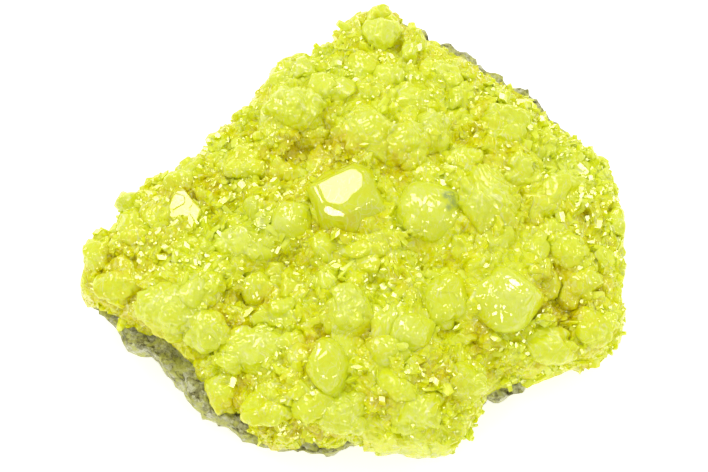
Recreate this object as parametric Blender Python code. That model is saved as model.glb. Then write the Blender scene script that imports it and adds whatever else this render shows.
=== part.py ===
"""Sulfur crystals on a plate of grey matrix rock.

Sizes below are in millimetres and are written to the meshes in metres. +X runs to the right of the
specimen, +Y to its back and +Z up. It rests on a broken face that lies flat at z = 0.
"""

import math
import random

import bmesh
import bpy
import numpy as np
from mathutils import Euler, Matrix, Vector, noise

MM = 0.001

# Driving dimensions
PLATE_TOP = 12.5  # height of the crust's surface between the larger crystals
WIDEST_AT = 6.5  # height at which the plate reaches its outline
ROCK_TOP = 8.5  # height of the rock under the middle of the crust
SEAM = 0.5  # upright gap between the rock and the crust
SOCKET = 0.3  # gap between a large crystal and what it grows against
SIDE_POWER = 3.6  # how square the plate's sides are
FLAT_SHARE = 0.72  # share of the outline's reach that the underside's flat face has
OFF_CENTER = (0.35, 0.383)  # middle of the finished specimen in the outline's own axes

# The plate seen from above, counterclockwise from its back corner
OUTLINE = [
    (4, 39), (0.5, 36.5), (-3, 32), (-8.5, 28.5), (-11.5, 27), (-13.5, 24), (-15, 21), (-20, 16),
    (-23.5, 11), (-26, 8.5), (-31.5, 6.5), (-34, 4.5), (-36.5, -1.5), (-41, -6), (-41.5, -11),
    (-35.5, -16), (-33.5, -19), (-30.5, -20), (-24.5, -26), (-23, -29), (-17.5, -32.5), (-16, -34),
    (-13, -35), (-7, -35.5), (-3.5, -36), (-0.5, -34.5), (7, -36), (10.5, -37), (14, -35.5), (17, -33),
    (19, -30), (20, -27.5), (22, -27), (31.5, -23), (39, -19.5), (41, -15.5), (40.5, -10.5), (42, -2.5),
    (41, 4), (40, 9), (33.5, 16), (28, 22.5), (21.5, 26.5), (12.5, 32.5), (7, 36.5),
]

# Round the rim: direction in degrees, how far the crust and the rock stay inside the outline, and
# the height of the seam between them there
RIM_EDGES = [
    (0, 0.0, 1.4, 4.0), (18, 0.4, 0.8, 7.0), (35, 1.6, 0.0, 10.0), (60, 1.7, 0.0, 10.5),
    (78, 0.9, 0.2, 9.5), (95, 0.0, 1.2, 7.5), (140, 0.0, 1.2, 6.5), (170, 0.0, 1.4, 5.0),
    (195, 0.0, 1.0, 5.5), (205, 1.6, 0.0, 8.0), (216, 3.3, 0.0, 9.5), (236, 3.3, 0.0, 9.5),
    (246, 1.4, 0.0, 8.0), (253, 0.2, 0.8, 6.0), (260, 1.2, 0.0, 7.0), (267, 1.0, 0.0, 6.5),
    (274, 0.0, 1.2, 5.0), (302, 0.0, 1.2, 4.5), (309, 1.3, 0.0, 6.5), (314, 1.2, 0.0, 6.5),
    (322, 0.0, 1.2, 4.0), (342, 0.0, 1.5, 3.5),
]

# Broad swells and hollows of the crust: x, y, reach, height
RELIEF = [
    (2, 4.3, 15, 2.4), (-25, -14.7, 9, 1.6), (20, -12.7, 11, 1.8), (-1, -25.7, 12, 1.4), (24, 8.3, 10, 0.8),
    (-10, 15.3, 6, 1.6), (-4.5, 12.3, 4, -2.4), (-7, 7.3, 4, -1.8), (-14.5, -13.7, 5, -2.8),
    (31, -13.7, 4.5, -3.0), (15.5, 15.8, 3.5, -2.4), (-10.5, -8.2, 3.5, -1.8), (-20, 0.3, 5, -1.6),
    (33, 11.3, 8, -1.8), (6, 28.3, 7, -1.6), (-36, -9.7, 7, -1.4), (11, -9.2, 3, -2.2),
]

# Crystals large enough to tell apart, each a list of the lobes that grew together in it: x, y, how
# far the middle stands over the crust, the half sizes, the turn about +Z and the lean, and a seed
LARGE_CRYSTALS = {
    "crystal_center": [(-0.6, -0.1, 1.6, 6.1, 5.7, 4.8, -20, 8, 11)],
    "crystal_right_of_center": [(10.9, -1.3, 1.4, 5.6, 5.8, 4.9, 25, -8, 21)],
    "crystal_upper_cluster": [
        (3.0, 10.9, 1.6, 5.2, 5.4, 4.6, 15, 10, 31),
        (7.6, 9.5, 2.0, 4.6, 4.8, 3.8, -30, -8, 32),
        (11.9, 11.5, 1.6, 3.4, 4.2, 3.2, 20, 14, 33),
        (-0.2, 12.1, 0.6, 3.2, 3.8, 3.4, 40, -10, 34),
    ],
    "crystal_upper_left": [
        (-8.8, 15.5, 1.2, 4.4, 4.4, 4.2, 10, 12, 41),
        (-6.3, 12.5, 0.8, 3.4, 3.6, 3.6, 45, -8, 42),
        (-11.4, 11.9, 0.2, 3.0, 3.2, 3.0, 70, 5, 43),
    ],
    "crystal_right": [(20.0, -0.3, 1.0, 4.7, 6.2, 4.2, 12, 10, 51), (21.0, -5.9, 0.2, 3.4, 3.2, 3.4, 60, 0, 52)],
    "crystal_lower_right": [(22.4, -15.3, 1.6, 5.6, 5.6, 4.6, 5, -6, 61)],
    "crystal_beside_lower_right": [(13.7, -15.6, 1.2, 4.1, 4.8, 4.2, -28, 12, 71)],
    "crystal_lower_blocks": [
        (8.6, -20.3, 1.6, 3.6, 3.6, 3.6, 20, 6, 81),
        (4.6, -23.3, 1.2, 3.6, 3.0, 3.4, 5, -12, 82),
        (10.2, -23.5, 0.6, 3.0, 2.8, 3.0, 50, 10, 83),
    ],
    "crystal_left_oval": [(-26.2, -16.3, 1.2, 5.4, 4.6, 4.0, -25, 6, 91), (-21.2, -19.1, 0.8, 4.6, 3.8, 3.6, -35, -8, 92)],
    "crystal_lower_middle": [(-3.3, -25.7, 1.4, 3.6, 5.0, 4.0, 8, 12, 101)],
    "crystal_front": [(-1.0, -31.7, 0.8, 4.4, 3.6, 3.8, 15, -14, 111)],
    "crystal_front_right": [(16.4, -26.9, 0.8, 3.8, 3.6, 3.6, -20, -10, 121)],
    "crystal_left_plate": [(-25.0, -0.8, 1.2, 3.2, 4.4, 3.6, 12, 10, 131)],
    "crystal_left_of_center": [(-8.8, -2.7, 1.2, 3.8, 3.8, 4.0, 30, -12, 141)],
    "crystal_middle": [(-0.3, -17.3, 1.4, 4.2, 4.8, 4.0, -15, -8, 151)],
    "crystal_upper_right": [(23.0, 13.5, 0.8, 5.2, 4.2, 3.6, 30, 10, 161)],
}

# Crystals that are part of the crust, in the same terms
CRUST_CRYSTALS = [
    (9.0, 17.9, 0.6, 4.6, 3.4, 3.0, 10, 8, 201), (2.2, -7.5, 0.6, 5.4, 3.0, 3.4, 8, -10, 202),
    (-13.8, -22.3, 0.6, 6.2, 4.0, 3.4, 8, 8, 203), (-32.0, -3.3, 0.4, 4.0, 3.6, 3.2, 30, 0, 204),
    (30.2, 2.7, 0.6, 5.6, 3.4, 3.0, 35, 12, 205), (-16.0, 7.9, 0.6, 4.4, 3.8, 3.2, 20, -10, 206),
    (-16.6, -5.1, 0.4, 5.2, 3.6, 3.0, -15, 6, 207), (35.0, -18.1, 0.2, 4.0, 3.6, 3.0, 15, -5, 208),
    (28.4, -21.3, 0.4, 4.4, 3.2, 3.0, -15, 8, 209), (-33.8, -11.1, 0.4, 4.6, 4.0, 3.0, -20, 0, 210),
    (-11.8, -30.1, 0.4, 4.8, 3.8, 3.2, 12, -8, 211), (9.2, -31.1, 0.4, 4.2, 3.8, 3.2, 40, 6, 212),
    (-18.6, -27.1, 0.2, 3.8, 3.4, 3.0, 60, 5, 213), (31.6, -6.3, 0.4, 4.0, 3.8, 3.0, -30, 5, 214),
    (1.6, 24.7, 0.0, 3.8, 3.4, 3.0, 15, 10, 215), (16.4, 6.9, 0.6, 3.6, 3.8, 3.2, 50, -6, 216),
    (4.6, 31.4, 1.6, 3.0, 3.2, 2.6, 20, 0, 217),
]

# Smaller crystals that cover the crust between them
SMALL_SPACING = 7.0
SMALL_SIZE = (2.7, 3.7)
SMALL_SEED = 3

# Faces of a sulfur crystal: direction in its own axes, and how near and far from the middle they
# lie. They are the steep pyramid, the flat top, the dome and the low pyramid.
FACE_KINDS = [
    ((1.23, 1.0, 0.53), 0.76, 0.9), ((0.0, 0.0, 1.0), 0.72, 0.9), ((0.0, 1.0, 0.53), 0.84, 0.96),
    ((1.23, 1.0, 1.58), 0.8, 0.95),
]

SULFUR_YELLOW = (0.80, 0.83, 0.10, 1.0)
PALE_YELLOW = (0.84, 0.86, 0.24, 1.0)
ROCK_GREY = (0.33, 0.32, 0.24, 1.0)

rim_angles = np.array([math.atan2(y, x) for x, y in OUTLINE])
rim_radii = np.array([math.hypot(x, y) for x, y in OUTLINE])
edge_angles = np.radians([row[0] for row in RIM_EDGES])
crust_inset, rock_inset, seam_height = (np.array([row[n] for row in RIM_EDGES]) for n in (1, 2, 3))


def around(angle, angles, values):
    """A value given at a few directions, at any direction."""
    return float(np.interp(angle, angles, values, period=2 * math.pi))


def rim(angle):
    ragged = 0.5 * noise.noise(Vector((5 * math.cos(angle), 5 * math.sin(angle), 3.1)))
    return around(angle, rim_angles, rim_radii) + ragged


def crust_top(x, y):
    height = PLATE_TOP + sum(h * math.exp(-((x - cx) ** 2 + (y - cy) ** 2) / reach**2) for cx, cy, reach, h in RELIEF)
    return height + 0.7 * noise.noise(Vector((x, y, 0)) / 6) + 0.3 * noise.noise(Vector((x, y, 9)) / 2.5)


def crust_surface(x, y):
    """Height of the crust with the fall towards its rim, where crystals take root."""
    angle = math.atan2(y, x)
    share = min(1.0, math.hypot(x, y) / (rim(angle) - around(angle, edge_angles, crust_inset)))
    return WIDEST_AT + (crust_top(x, y) - WIDEST_AT) * (1 - share**SIDE_POWER) ** (1 / SIDE_POWER)


def underside(x, y, share):
    """Under zero where the flat face will be cut, and rising in broken steps outside it."""
    rough = 0.9 * noise.noise(Vector((x, y, 30)) / 7) + 0.5 * noise.noise(Vector((x, y, 40)) / 3)
    return rough - 1.5 + 3.4 * max(0.0, (share - FLAT_SHARE) / (1 - FLAT_SHARE))


def seam(x, y):
    """Height of the seam between the rock and the crust."""
    angle = math.atan2(y, x)
    share = min(1.0, math.hypot(x, y) / rim(angle))
    fall = min(1.0, max(0.0, (share - 0.78) / 0.22))
    middle = ROCK_TOP + 0.8 * noise.noise(Vector((x, y, 60)) / 9)
    edge = around(angle, edge_angles, seam_height) + 0.9 * noise.noise(Vector((x, y, 70)) / 4)
    return middle + (edge - middle) * fall * fall


def object_from(bm, name, collection, colour=None):
    """A mesh object of a bmesh in millimetres."""
    bmesh.ops.triangulate(bm, faces=bm.faces)
    bm.transform(Matrix.Scale(MM, 4) @ Matrix.Translation((-OFF_CENTER[0], -OFF_CENTER[1], 0)))
    mesh = bpy.data.meshes.new(name)
    bm.to_mesh(mesh)
    bm.free()
    made = bpy.data.objects.new(name, mesh)
    collection.objects.link(made)
    if colour is None:
        made.hide_render = True
        made.display_type = "WIRE"
    else:
        mesh.materials.append(colour)
    return made


def boolean(target, operation, operand):
    modifier = target.modifiers.new(operation.title(), "BOOLEAN")
    modifier.operation = operation
    if isinstance(operand, bpy.types.Collection):
        modifier.operand_type = "COLLECTION"
        modifier.collection = operand
    else:
        modifier.object = operand


def material(name, colour, roughness):
    made = bpy.data.materials.new(name)
    made.use_nodes = True
    shader = made.node_tree.nodes["Principled BSDF"]
    shader.inputs["Base Color"].default_value = colour
    shader.inputs["Roughness"].default_value = roughness
    shader.inputs["Metallic"].default_value = 0.0
    return made


def plate(name, inset, levels, colour, collection):
    """The whole plate, rock and crust together, inside the outline by an inset round its rim."""
    bm = bmesh.new()
    bmesh.ops.create_icosphere(bm, subdivisions=levels, radius=1.0)
    for vertex in bm.verts:
        sx, sy, sz = vertex.co.normalized()
        angle = math.atan2(sy, sx)
        share = math.sqrt(1 - abs(sz))
        reach = share * (rim(angle) - around(angle, edge_angles, inset))
        x, y = reach * math.cos(angle), reach * math.sin(angle)
        side = (1 - share**SIDE_POWER) ** (1 / SIDE_POWER)
        end = crust_top(x, y) if sz > 0 else underside(x, y, share)
        grain = 0.35 * noise.noise(Vector((x, y, 8 * sz)) / 2.2)
        vertex.co = (x, y, WIDEST_AT + (end - WIDEST_AT) * side + grain)
    return object_from(bm, name, collection, colour)


def seam_cutter(name, rise, height, collection):
    """A block whose face towards the plate is the seam, raised by rise."""
    bm = bmesh.new()
    shares = [0.0, 0.42, 0.74, 0.9, 1.02, 1.2]
    profile = [bm.verts.new((share, 0, 0)) for share in shares]
    edges = [bm.edges.new(pair) for pair in zip(profile, profile[1:])]
    bmesh.ops.spin(
        bm, geom=profile + edges, cent=(0, 0, 0), axis=(0, 0, 1), angle=2 * math.pi, steps=24, use_merge=True
    )
    bmesh.ops.remove_doubles(bm, verts=bm.verts, dist=1e-4)
    for vertex in bm.verts:
        share = vertex.co.xy.length
        angle = math.atan2(vertex.co.y, vertex.co.x)
        x, y = share * rim(angle) * math.cos(angle), share * rim(angle) * math.sin(angle)
        vertex.co = (x, y, seam(x, y) + rise)
    block = bmesh.ops.extrude_face_region(bm, geom=bm.faces[:])
    for vertex in (part for part in block["geom"] if isinstance(part, bmesh.types.BMVert)):
        vertex.co.z = height
    bmesh.ops.recalc_face_normals(bm, faces=bm.faces)
    return object_from(bm, name, collection)


def crystal_faces(rng, rounded):
    """Directions and distances of the flat faces on one crystal, in a ball of radius 1."""
    faces = []
    for kind, nearest, farthest in FACE_KINDS[: 4 if rounded else 2]:
        signs = {(sx * (kind[0] > 0), sy * (kind[1] > 0), sz) for sx in (-1, 1) for sy in (-1, 1) for sz in (-1, 1)}
        for sx, sy, sz in sorted(signs):
            direction = Vector((sx * kind[0], sy * kind[1], sz * kind[2])).normalized()
            faces.append((direction, rng.uniform(nearest, farthest)))
    return faces


def crystal(name, lobe, collection, colour=None, grow=0.0, rounded=True):
    """One lobe: an ellipsoid cut by its crystal's flat faces and seated in the crust."""
    x, y, lift, a, b, c, turn, lean, seed = lobe
    rng = random.Random(seed)
    bm = bmesh.new()
    bmesh.ops.create_icosphere(bm, subdivisions=2 if rounded else 1, radius=1.0)
    for direction, distance in crystal_faces(rng, rounded):
        bmesh.ops.bisect_plane(
            bm, geom=bm.verts[:] + bm.edges[:] + bm.faces[:], dist=1e-5, plane_co=direction * distance,
            plane_no=direction, clear_outer=True,
        )
    bmesh.ops.remove_doubles(bm, verts=bm.verts, dist=0.3 if rounded else 0.46)
    bmesh.ops.delete(bm, geom=bm.edges[:] + bm.faces[:], context="EDGES_FACES")
    size = Vector((a + grow, b + grow, c + grow))
    turned = Euler((math.radians(lean), math.radians(0.6 * lean), math.radians(turn))).to_matrix().to_4x4()
    place = Matrix.Translation((x, y, crust_surface(x, y) + lift))
    bm.transform(place @ turned @ Matrix.Diagonal(size).to_4x4())
    hull = bmesh.ops.convex_hull(bm, input=bm.verts)
    unused = set(hull["geom_interior"]) | set(hull["geom_unused"]) | set(hull["geom_holes"])
    bmesh.ops.delete(bm, geom=[part for part in unused if isinstance(part, bmesh.types.BMVert)], context="VERTS")
    bmesh.ops.recalc_face_normals(bm, faces=bm.faces)
    return object_from(bm, name, collection, colour)


def crowded(x, y, size):
    """Whether a small crystal there would be lost in a larger one."""
    larger = [lobe for lobes in LARGE_CRYSTALS.values() for lobe in lobes] + CRUST_CRYSTALS
    return any(math.hypot(x - lobe[0], y - lobe[1]) < 0.5 * (lobe[3] + lobe[4]) + 0.1 * size for lobe in larger)


def small_crystals():
    """Lobes of the small crystals, on a jittered grid over the crust."""
    rng = random.Random(SMALL_SEED)
    found = []
    steps = int(46 / SMALL_SPACING)
    for row in range(-steps, steps + 1):
        for column in range(-steps, steps + 1):
            x = (column + 0.5 * (row % 2) + rng.uniform(-0.22, 0.22)) * SMALL_SPACING
            y = (row * 0.87 + rng.uniform(-0.22, 0.22)) * SMALL_SPACING
            size, turn, lean = rng.uniform(*SMALL_SIZE), rng.uniform(0, 360), rng.uniform(-22, 22)
            angle = math.atan2(y, x)
            reach = rim(angle) - around(angle, edge_angles, crust_inset)
            if math.hypot(x, y) < reach - 1.05 * size and not crowded(x, y, size):
                lobe = (x, y, 0.9, size, size * rng.uniform(0.75, 1.1), size, turn, lean, len(found) + 300)
                found.append(lobe)
    return found


def clear_scene():
    for leftover in list(bpy.data.objects):
        bpy.data.objects.remove(leftover)


def collection_in(parent, name):
    made = bpy.data.collections.new(name)
    parent.children.link(made)
    return made


def build():
    clear_scene()
    root = bpy.context.scene.collection
    specimen = collection_in(root, "sulfur_specimen")
    cutters = collection_in(root, "cutters")
    fused = collection_in(root, "crystals_of_the_crust")
    sockets = collection_in(root, "sockets")
    sulfur = material("sulfur", SULFUR_YELLOW, 0.3)
    pale_sulfur = material("pale_sulfur", PALE_YELLOW, 0.2)
    grey_rock = material("grey_rock", ROCK_GREY, 0.9)

    rock = plate("matrix_rock", rock_inset, 4, grey_rock, specimen)
    boolean(rock, "DIFFERENCE", seam_cutter("above_the_seam", -SEAM / 2, 40, cutters))
    boolean(rock, "DIFFERENCE", floor_cutter(cutters))

    crust = plate("sulfur_crust", crust_inset, 4, sulfur, specimen)
    for lobe in CRUST_CRYSTALS:
        crystal("crust_crystal", lobe, fused)
    for lobe in small_crystals():
        crystal("small_crystal", lobe, fused, rounded=False)
    boolean(crust, "UNION", fused)
    boolean(crust, "DIFFERENCE", seam_cutter("below_the_seam", SEAM / 2, -10, cutters))

    earlier = []
    for name, lobes in LARGE_CRYSTALS.items():
        body = crystal(name, lobes[0], specimen, pale_sulfur)
        for lobe in lobes[1:]:
            boolean(body, "UNION", crystal(name + "_lobe", lobe, cutters))
        for lobe, socket in earlier:
            if any(touching(lobe, own) for own in lobes):
                boolean(body, "DIFFERENCE", socket)
        for lobe in lobes:
            earlier.append((lobe, crystal(name + "_socket", lobe, sockets, grow=SOCKET)))
    boolean(crust, "DIFFERENCE", sockets)


def touching(lobe, other):
    reach = max(lobe[3], lobe[4]) + max(other[3], other[4]) + 2 * SOCKET
    return math.hypot(lobe[0] - other[0], lobe[1] - other[1]) < reach


def floor_cutter(collection):
    """What lies under the flat face."""
    bm = bmesh.new()
    bmesh.ops.create_cube(bm, size=1.0, matrix=Matrix.Translation((0, 0, -10)) @ Matrix.Diagonal((120, 120, 20, 1)))
    return object_from(bm, "under_the_flat_face", collection)


build()
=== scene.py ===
import math
import random

import bmesh
import bpy
import numpy as np
from mathutils import Euler, Matrix, Vector, noise


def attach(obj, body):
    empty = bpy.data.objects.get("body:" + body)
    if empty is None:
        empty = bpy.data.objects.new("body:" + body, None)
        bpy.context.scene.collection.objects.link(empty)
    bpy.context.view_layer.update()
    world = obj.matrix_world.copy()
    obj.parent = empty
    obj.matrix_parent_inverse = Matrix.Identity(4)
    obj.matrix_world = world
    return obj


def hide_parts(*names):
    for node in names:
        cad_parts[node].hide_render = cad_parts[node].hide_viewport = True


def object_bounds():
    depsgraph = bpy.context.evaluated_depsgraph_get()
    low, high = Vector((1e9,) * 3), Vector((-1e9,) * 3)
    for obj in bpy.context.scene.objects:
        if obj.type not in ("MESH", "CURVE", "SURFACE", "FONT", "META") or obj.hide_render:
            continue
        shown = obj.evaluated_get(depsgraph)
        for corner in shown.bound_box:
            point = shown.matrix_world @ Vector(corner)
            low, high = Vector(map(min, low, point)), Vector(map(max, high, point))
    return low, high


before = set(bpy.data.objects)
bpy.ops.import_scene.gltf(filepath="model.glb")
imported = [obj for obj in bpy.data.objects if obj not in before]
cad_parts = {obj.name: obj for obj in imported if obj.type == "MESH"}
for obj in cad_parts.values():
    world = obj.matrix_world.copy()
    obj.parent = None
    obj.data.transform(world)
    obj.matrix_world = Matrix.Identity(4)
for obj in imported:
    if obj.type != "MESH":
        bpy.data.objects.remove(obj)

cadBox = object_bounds()

# Sizes are in millimetres, in the plate's own axes, until a piece is finished.
mm = 0.001
plate = {
    "top": 12.5,
    "widestAt": 6.5,
    "rockTop": 8.5,
    "sidePower": 3.6,
    "flatShare": 0.72,
    "offCenter": (0.35, 0.383),
    "outline": [
        (4, 39), (0.5, 36.5), (-3, 32), (-8.5, 28.5), (-11.5, 27), (-13.5, 24), (-15, 21), (-20, 16),
        (-23.5, 11), (-26, 8.5), (-31.5, 6.5), (-34, 4.5), (-36.5, -1.5), (-41, -6), (-41.5, -11),
        (-35.5, -16), (-33.5, -19), (-30.5, -20), (-24.5, -26), (-23, -29), (-17.5, -32.5), (-16, -34),
        (-13, -35), (-7, -35.5), (-3.5, -36), (-0.5, -34.5), (7, -36), (10.5, -37), (14, -35.5), (17, -33),
        (19, -30), (20, -27.5), (22, -27), (31.5, -23), (39, -19.5), (41, -15.5), (40.5, -10.5), (42, -2.5),
        (41, 4), (40, 9), (33.5, 16), (28, 22.5), (21.5, 26.5), (12.5, 32.5), (7, 36.5),
    ],
    # direction in degrees, inset of the crust, inset of the rock, height of the seam
    "rimEdges": [
        (0, 0.0, 1.4, 4.0), (18, 0.4, 0.8, 7.0), (35, 1.6, 0.0, 10.0), (60, 1.7, 0.0, 10.5),
        (78, 0.9, 0.2, 9.5), (95, 0.0, 1.2, 7.5), (140, 0.0, 1.2, 6.5), (170, 0.0, 1.4, 5.0),
        (195, 0.0, 1.0, 5.5), (205, 1.6, 0.0, 8.0), (216, 3.3, 0.0, 9.5), (236, 3.3, 0.0, 9.5),
        (246, 1.4, 0.0, 8.0), (253, 0.2, 0.8, 6.0), (260, 1.2, 0.0, 7.0), (267, 1.0, 0.0, 6.5),
        (274, 0.0, 1.2, 5.0), (302, 0.0, 1.2, 4.5), (309, 1.3, 0.0, 6.5), (314, 1.2, 0.0, 6.5),
        (322, 0.0, 1.2, 4.0), (342, 0.0, 1.5, 3.5),
    ],
    # swells and hollows: x, y, reach, height
    "relief": [
        (2, 4.3, 15, 2.4), (-25, -14.7, 9, 1.6), (20, -12.7, 11, 1.8), (-1, -25.7, 12, 1.4),
        (24, 8.3, 10, 0.8), (-10, 15.3, 6, 1.6), (-4.5, 12.3, 4, -2.4), (-7, 7.3, 4, -1.8),
        (-14.5, -13.7, 5, -2.8), (31, -13.7, 4.5, -3.0), (15.5, 15.8, 3.5, -2.4), (-10.5, -8.2, 3.5, -1.8),
        (-20, 0.3, 5, -1.6), (33, 11.3, 8, -1.8), (6, 28.3, 7, -1.6), (-36, -9.7, 7, -1.4), (11, -9.2, 3, -2.2),
    ],
}
rimAngles = np.array([math.atan2(y, x) for x, y in plate["outline"]])
rimRadii = np.array([math.hypot(x, y) for x, y in plate["outline"]])
edgeAngles = np.radians([row[0] for row in plate["rimEdges"]])
crustInset, rockInset, seamHeight = (np.array([row[n] for row in plate["rimEdges"]]) for n in (1, 2, 3))


def around(angle, angles, values):
    return float(np.interp(angle, angles, values, period=2 * math.pi))


def rim(angle):
    # the third number only picks a different part of the noise
    ragged = 0.5 * noise.noise(Vector((5 * math.cos(angle), 5 * math.sin(angle), 3.1)))
    return around(angle, rimAngles, rimRadii) + ragged


def crustTop(x, y):
    swells = sum(
        height * math.exp(-((x - swellX) ** 2 + (y - swellY) ** 2) / reach**2)
        for swellX, swellY, reach, height in plate["relief"]
    )
    bumps = 0.7 * noise.noise(Vector((x, y, 0)) / 6) + 0.3 * noise.noise(Vector((x, y, 9)) / 2.5)
    return plate["top"] + swells + bumps


# The crust climbs a little up the foot of each large crystal
def skirt(x, y):
    rings = (math.hypot(x - lobe[0], y - lobe[1]) / (0.5 * (lobe[3] + lobe[4])) for lobe in allLobes)
    return crustLook["skirt"] * max(math.exp(-(max(0.0, ring - 0.9) * 2.2) ** 2) for ring in rings)


def crustReach(angle):
    return rim(angle) - around(angle, edgeAngles, crustInset)


def crustSurface(x, y):
    share = min(1.0, math.hypot(x, y) / crustReach(math.atan2(y, x)))
    side = (1 - share ** plate["sidePower"]) ** (1 / plate["sidePower"])
    return plate["widestAt"] + (crustTop(x, y) - plate["widestAt"]) * side


def underside(x, y, share):
    rough = 0.9 * noise.noise(Vector((x, y, 30)) / 7) + 0.5 * noise.noise(Vector((x, y, 40)) / 3)
    return rough - 1.5 + 3.4 * max(0.0, (share - plate["flatShare"]) / (1 - plate["flatShare"]))


def seam(x, y):
    angle = math.atan2(y, x)
    share = min(1.0, math.hypot(x, y) / rim(angle))
    fall = min(1.0, max(0.0, (share - 0.78) / 0.22))
    middle = plate["rockTop"] + 0.8 * noise.noise(Vector((x, y, 60)) / 9)
    edge = around(angle, edgeAngles, seamHeight) + 0.9 * noise.noise(Vector((x, y, 70)) / 4)
    return middle + (edge - middle) * fall * fall


# Studio: places and sizes are in metres, and the target is in millimetres
studio = {
    "elevation": 65.0,
    "distance": 0.296,
    "target": (-0.05, -3.08, 10.0),
    "lens": 100.0,
    "world": 0.66,
    "lights": [
        {"name": "key", "place": (-0.16, 0.34, 0.62), "size": 0.22, "energy": 1.0},
        {"name": "side", "place": (0.50, 0.10, 0.42), "size": 0.09, "energy": 0.28},
        {"name": "front", "place": (-0.35, -0.40, 0.45), "size": 0.09, "energy": 0.28},
        {"name": "back", "place": (0.25, 0.55, 0.35), "size": 0.09, "energy": 0.28},
        {"name": "left", "place": (-0.48, 0.15, 0.45), "size": 0.09, "energy": 0.28},
        {"name": "corner", "place": (0.36, -0.34, 0.48), "size": 0.09, "energy": 0.28},
        {"name": "far", "place": (-0.36, 0.52, 0.38), "size": 0.09, "energy": 0.28},
    ],
    "floorGlow": 0.5,
    "floorSize": 3.0,
}
viewAngle = math.radians(studio["elevation"])
viewWay = Vector((0, -math.cos(viewAngle), math.sin(viewAngle)))
cameraPlace = Vector(studio["target"]) * mm + studio["distance"] * viewWay
lampPlaces = {lamp["name"]: Vector(lamp["place"]) for lamp in studio["lights"]}


# A face that looks this way shows a light to the camera
def mirrorWay(point, lamp):
    return ((cameraPlace - point).normalized() + (lampPlaces[lamp] - point).normalized()).normalized()


# Large crystals, each a list of lobes: x, y, height over the crust, half sizes, turn, lean, seed
largeCrystals = {
    "crystal_center": [(-0.6, -0.1, 1.6, 6.1, 5.7, 4.8, -20, 8, 11)],
    "crystal_right_of_center": [(10.9, -1.3, 1.4, 5.6, 5.8, 4.9, 25, -8, 21)],
    "crystal_upper_cluster": [
        (3.0, 10.9, 1.6, 5.2, 5.4, 4.6, 15, 10, 31),
        (7.6, 9.5, 2.0, 4.6, 4.8, 3.8, -30, -8, 32),
        (11.9, 11.5, 1.6, 3.4, 4.2, 3.2, 20, 14, 33),
        (-0.2, 12.1, 0.6, 3.2, 3.8, 3.4, 40, -10, 34),
    ],
    "crystal_upper_left": [
        (-8.8, 15.5, 1.2, 4.4, 4.4, 4.2, 10, 12, 41),
        (-6.3, 12.5, 0.8, 3.4, 3.6, 3.6, 45, -8, 42),
        (-11.4, 11.9, 0.2, 3.0, 3.2, 3.0, 70, 5, 43),
    ],
    "crystal_right": [(20.0, -0.3, 1.0, 4.7, 6.2, 4.2, 12, 10, 51), (21.0, -5.9, 0.2, 3.4, 3.2, 3.4, 60, 0, 52)],
    "crystal_lower_right": [(22.4, -15.3, 1.6, 5.6, 5.6, 4.6, 5, -6, 61)],
    "crystal_beside_lower_right": [(13.7, -15.6, 1.2, 4.1, 4.8, 4.2, -28, 12, 71)],
    "crystal_lower_blocks": [
        (8.6, -20.3, 1.6, 3.6, 3.6, 3.6, 20, 6, 81),
        (4.6, -23.3, 1.2, 3.6, 3.0, 3.4, 5, -12, 82),
        (10.2, -23.5, 0.6, 3.0, 2.8, 3.0, 50, 10, 83),
    ],
    "crystal_left_oval": [
        (-26.2, -16.3, 1.2, 5.4, 4.6, 4.0, -25, 6, 91), (-21.2, -19.1, 0.8, 4.6, 3.8, 3.6, -35, -8, 92),
    ],
    "crystal_lower_middle": [(-3.3, -25.7, 1.4, 3.6, 5.0, 4.0, 8, 12, 101)],
    "crystal_front": [(-1.0, -31.7, 0.8, 4.4, 3.6, 3.8, 15, -14, 111)],
    "crystal_front_right": [(16.4, -26.9, 0.8, 3.8, 3.6, 3.6, -20, -10, 121)],
    "crystal_left_plate": [(-25.0, -0.8, 1.2, 3.2, 4.4, 3.6, 12, 10, 131)],
    "crystal_left_of_center": [(-8.8, -2.7, 1.2, 3.8, 3.8, 4.0, 30, -12, 141)],
    "crystal_middle": [(-0.3, -17.3, 1.4, 4.2, 4.8, 4.0, -15, -8, 151)],
    "crystal_upper_right": [(23.0, 13.5, 0.8, 5.2, 4.2, 3.6, 30, 10, 161)],
}
crustCrystals = [
    (9.0, 17.9, 0.6, 4.6, 3.4, 3.0, 10, 8, 201), (2.2, -7.5, 0.6, 5.4, 3.0, 3.4, 8, -10, 202),
    (-13.8, -22.3, 0.6, 6.2, 4.0, 3.4, 8, 8, 203), (-32.0, -3.3, 0.4, 4.0, 3.6, 3.2, 30, 0, 204),
    (30.2, 2.7, 0.6, 5.6, 3.4, 3.0, 35, 12, 205), (-16.0, 7.9, 0.6, 4.4, 3.8, 3.2, 20, -10, 206),
    (-16.6, -5.1, 0.4, 5.2, 3.6, 3.0, -15, 6, 207), (35.0, -18.1, 0.2, 4.0, 3.6, 3.0, 15, -5, 208),
    (28.4, -21.3, 0.4, 4.4, 3.2, 3.0, -15, 8, 209), (-33.8, -11.1, 0.4, 4.6, 4.0, 3.0, -20, 0, 210),
    (-11.8, -30.1, 0.4, 4.8, 3.8, 3.2, 12, -8, 211), (9.2, -31.1, 0.4, 4.2, 3.8, 3.2, 40, 6, 212),
    (-18.6, -27.1, 0.2, 3.8, 3.4, 3.0, 60, 5, 213), (31.6, -6.3, 0.4, 4.0, 3.8, 3.0, -30, 5, 214),
    (1.6, 24.7, 0.0, 3.8, 3.4, 3.0, 15, 10, 215), (16.4, 6.9, 0.6, 3.6, 3.8, 3.2, 50, -6, 216),
    (4.6, 31.4, 1.6, 3.0, 3.2, 2.6, 20, 0, 217),
]
smallCrystals = {"spacing": 7.0, "reach": 46, "size": (2.7, 3.7), "lift": 0.35, "seed": 3}
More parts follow.
